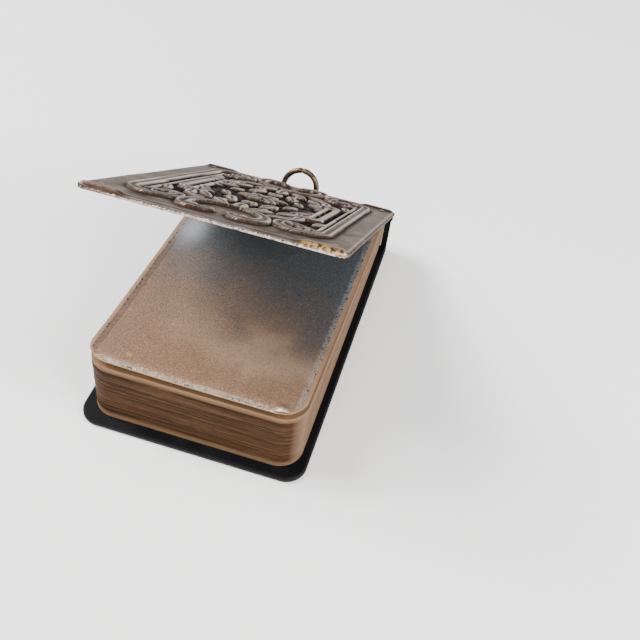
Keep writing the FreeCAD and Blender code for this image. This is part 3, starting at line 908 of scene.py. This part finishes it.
def page_finish():
    """Aged page edges with worn gilding: fine lines that follow the leaves, gilt bands lightened by a
    painted highlight, and a right side made lighter as painted light.
    """
    finish = Finish("gilt_page_edges")
    x, y, z = finish.axis("X"), finish.axis("Y"), finish.axis("Z")
    rise = (pages_top_at_free_edge - pages_top_at_spine) / (fold_y - pages_near_y)
    thickness = (pages_top_at_spine - pages_low) + (fold_y - y) * rise
    layer = (z - pages_low) / thickness
    sway = (finish.noise(6.0, 2.0, 0.5) - 0.5) * 0.03

    def streaks(along, across, detail, roughness):
        """Noise drawn out along the leaves, with so many changes through the stack."""
        drawn_out = finish.add("ShaderNodeCombineXYZ", inputs={
            "X": x * along, "Y": y * along, "Z": (layer + sway) * across,
        })
        return finish.add("ShaderNodeTexNoise", inputs={
            "Vector": drawn_out, "Scale": 1.0, "Detail": detail, "Roughness": roughness,
        })

    lines = streaks(0.05, 24, 4.0, 0.7)
    fine = streaks(0.16, 80, 3.0, 0.6)
    cloud = finish.noise(3.0, 3.0, 0.5)
    umber, brown = colour(0.022, 0.011, 0.006), colour(0.085, 0.042, 0.02)
    base = finish.mix(lines.between(0.35, 0.65), umber, brown)
    base = finish.mix(fine.between(0.52, 0.74) * 0.6, base, colour(0.2, 0.11, 0.055))
    # Lighter bands at the top and bottom of the stack: gilt, with a painted highlight where the top
    # leaves' edges catch the light
    gilt_and_highlight_band = (layer.between(0.9, 0.96) + (1 - layer.between(0.03, 0.1))) * (0.45 + 0.55 * fine)
    base = finish.mix(gilt_and_highlight_band.limited(), base, colour(0.36, 0.225, 0.125))
    # Painted light: the right side of the stack is made lighter, as the side that faces the light
    side = x.between(pages_half - 1.6, pages_half - 0.1)
    base = finish.mix((side * (0.6 + 0.35 * cloud)).limited(), base, colour(0.3, 0.19, 0.12))
    bumps = finish.bump(fine, 0.05)
    gilt = (0.3 + 0.3 * gilt_and_highlight_band).limited()
    rough = 0.52 + (fine - 0.5) * 0.3
    return finish.set(Base_Color=base, Roughness=rough, Metallic=gilt, Specular_IOR_Level=0.2,
                      Specular_Tint=colour(0.5, 0.42, 0.34), Normal=bumps)


def leaf_paper_finish():
    """The top leaf's own paper, which shows as a tan border round the silver."""
    finish = Finish("tan_leaf_paper")
    cloud = finish.noise(2.0, 3.0, 0.6)
    fibre = finish.noise(0.2, 3.0, 0.6)
    base = finish.mix(cloud, colour(0.17, 0.1, 0.055), colour(0.36, 0.225, 0.13))
    base = finish.mix(fibre.between(0.6, 0.8) * 0.5, base, colour(0.12, 0.07, 0.035))
    return finish.set(Base_Color=base, Roughness=0.55, Metallic=0.25, Normal=finish.bump(fibre, 0.02))


def leather_finish():
    """Thin black leather with a fine pebbled grain, rubbed a little smoother in places."""
    finish = Finish("black_leather")
    cells = finish.add("ShaderNodeTexVoronoi", {"feature": "DISTANCE_TO_EDGE"},
                       {"Vector": finish.place, "Scale": 1 / (0.32 * MM)})
    pores = finish.noise(0.12, 2.0, 0.5)
    cloud = finish.noise(4.0, 3.0, 0.6)
    deep, rubbed = colour(0.0015, 0.0015, 0.0025), colour(0.005, 0.0045, 0.005)
    base = finish.mix(cloud.between(0.45, 0.75), deep, rubbed)
    rough = 0.5 + (cloud - 0.5) * 0.3 + (pores - 0.5) * 0.1
    grain = finish.bump(cells.between(0.0, 0.25), 0.03)
    return finish.set(Base_Color=base, Roughness=rough.limited(), Specular_IOR_Level=0.12,
                      Normal=finish.bump(pores, 0.012, grain))


def bronze_finish():
    """Dark bronzed wire, rubbed brown where it is handled."""
    finish = Finish("bronzed_wire")
    cloud = finish.noise(1.1, 3.0, 0.6)
    drawn = finish.noise(0.15, 3.0, 0.5)
    base = finish.mix(cloud.between(0.4, 0.65), colour(0.06, 0.042, 0.03), colour(0.2, 0.14, 0.085))
    rough = 0.36 + (cloud - 0.5) * 0.25
    return finish.set(Base_Color=base, Roughness=rough, Metallic=0.9, Normal=finish.bump(drawn, 0.015))


def board_finish():
    """Grey-brown pasteboard with short fibres."""
    finish = Finish("pasteboard")
    fibre = finish.noise(0.25, 4.0, 0.6)
    base = finish.mix(fibre, colour(0.2, 0.15, 0.1), colour(0.4, 0.32, 0.23))
    return finish.set(Base_Color=base, Roughness=0.85, Normal=finish.bump(fibre, 0.03))


def linen_finish(name, pale, dark):
    """Woven or twisted linen, for the gauze and the thread."""
    finish = Finish(name)
    weave = finish.add("ShaderNodeTexWave", {"wave_type": "BANDS", "bands_direction": "X"},
                       {"Vector": finish.place, "Scale": 1 / (1.2 * MM), "Distortion": 0.6})
    base = finish.mix(weave, dark, pale)
    return finish.set(Base_Color=base, Roughness=0.8, Normal=finish.bump(weave, 0.03))


# Camera, floor and lights

def camera():
    """Looks down on the free edge from the front right, rolled as the case is held."""
    roll, tilt, swing = (math.radians(angle) for angle in (-22.12, -42.15, -9.75))
    turn = (Matrix.Rotation(roll, 3, "Z") @ Matrix.Rotation(tilt, 3, "X")
            @ Matrix.Rotation(swing, 3, "Y"))
    offset = Vector((-13.07, -1.02, -161.37)) * MM
    focal_pixels, frame_pixels = 889.8, 640
    data = bpy.data.cameras.new("camera")
    data.sensor_width = 36.0
    data.lens = focal_pixels / frame_pixels * data.sensor_width
    data.clip_start = 0.005
    seen = bpy.data.objects.new("camera", data)
    inverse = turn.transposed()
    seen.matrix_world = Matrix.Translation(-(inverse @ offset)) @ inverse.to_4x4()
    bpy.context.scene.collection.objects.link(seen)
    bpy.context.scene.camera = seen


def studio():
    """A pale floor and three soft lights, each with its place, aim, size, watts and tint."""
    half = 900.0
    corners = [(-half, -half, 0), (half, -half, 0), (half, half, 0), (-half, half, 0)]
    floor = mesh_object("floor", corners, [[0, 1, 2, 3]], smooth=False)
    finish = Finish("pale_floor")
    floor.data.materials.append(finish.set(Base_Color=colour(0.93, 0.93, 0.93), Roughness=0.9))
    for name, place, aim, size, power, tint in (
        ("key", (-0.5, 0.02, 0.55), (0, 0, 0), 0.35, 11.0, (1.0, 0.98, 0.95)),
        ("front", (0.1, -0.5, 0.3), (0, 0, 0.02), 0.45, 3.0, (1.0, 0.95, 0.9)),
        ("side", (0.45, -0.15, 0.3), (0, 0, 0.01), 0.3, 4.5, (1.0, 0.97, 0.93)),
    ):
        data = bpy.data.lights.new(name, "AREA")
        data.shape = "SQUARE"
        data.size = size
        data.energy = power
        data.color = tint
        light = bpy.data.objects.new(name, data)
        light.location = place
        light.rotation_euler = (Vector(aim) - Vector(place)).to_track_quat("-Z", "Y").to_euler()
        bpy.context.scene.collection.objects.link(light)
    world = bpy.data.worlds.new("studio")
    world.use_nodes = True
    world.node_tree.nodes["Background"].inputs[0].default_value = colour(0.9, 0.93, 1.0)
    world.node_tree.nodes["Background"].inputs[1].default_value = 0.6
    bpy.context.scene.world = world


def dress(node, material):
    """Gives a construction node a finish in place of its plain one."""
    shown = frame["nodes"][node]
    shown.data.materials.clear()
    shown.data.materials.append(material)


camera()
studio()

silvered = silvered_finish()
leather = leather_finish()
bronze = bronze_finish()
board = board_finish()
gauze = linen_finish("gauze", colour(0.62, 0.56, 0.46), colour(0.3, 0.25, 0.18))
thread = linen_finish("linen_thread", colour(0.75, 0.68, 0.55), colour(0.4, 0.33, 0.24))

relief_plate().data.materials.append(plate_finish())
leaf_paper, leaf_silver = top_leaf()
leaf_paper.data.materials.append(leaf_paper_finish())
for piece in (leaf_silver, lining(), raw_edge(), gutter_fold()):
    piece.data.materials.append(silvered)
hinge_bend().data.materials.append(leather)
page_leaves(page_finish())
wire_ring().data.materials.append(bronze)

for node, material in (
    ("back_leather", leather), ("hinge_leather", leather), ("back_board", board),
    ("front_board", board), ("spine_card", board), ("back_pastedown", silvered),
    ("back_flyleaf", silvered), ("spine_mull", gauze), ("sewing_thread", thread),
    ("ring_lug", bronze), ("lug_washer", bronze),
):
    dress(node, material)
